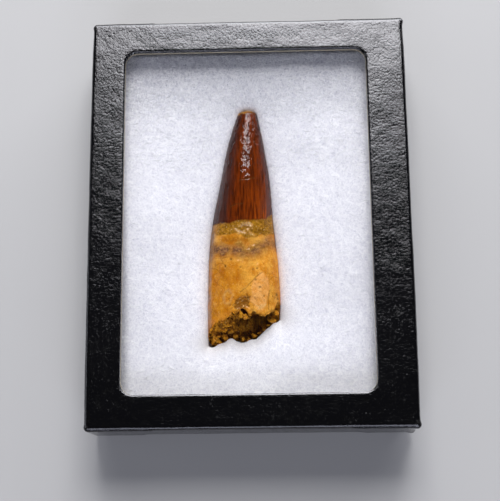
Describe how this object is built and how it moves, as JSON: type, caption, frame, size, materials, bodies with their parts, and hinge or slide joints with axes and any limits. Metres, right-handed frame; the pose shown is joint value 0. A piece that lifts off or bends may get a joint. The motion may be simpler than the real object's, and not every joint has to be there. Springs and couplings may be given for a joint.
{
  "type": "fossil tooth in display box",
  "caption": "Spinosaurus tooth with a glossy brown crown and a broken ochre root, lying on white fibre in a flat black box with a glass window.",
  "frame": {"origin": "middle of the box's flat back, on the surface that it lies on", "axes": "+Z out of the glass, +Y along the tooth from its broken root to its tip, +X to the right for someone who looks down on the glass with the tip away from them"},
  "size_m": [0.083, 0.108, 0.0191],
  "materials": {
    "lid_board": "black embossed paper over board, pebbled grain with a soft gloss",
    "tray_board": "black embossed paper over board, pebbled grain with a soft gloss",
    "pane": "clear and polished",
    "fibre": "loose white polyester fibre, matt",
    "fossil": "glossy mahogany enamel on the crown, waxy ochre root, dark crumbly break"
  },
  "bodies": {
    "root": {"tray": "tray_board", "batting": "fibre", "tooth": "fossil", "glass": "pane", "lid": "lid_board"}
  },
  "joints": []
}
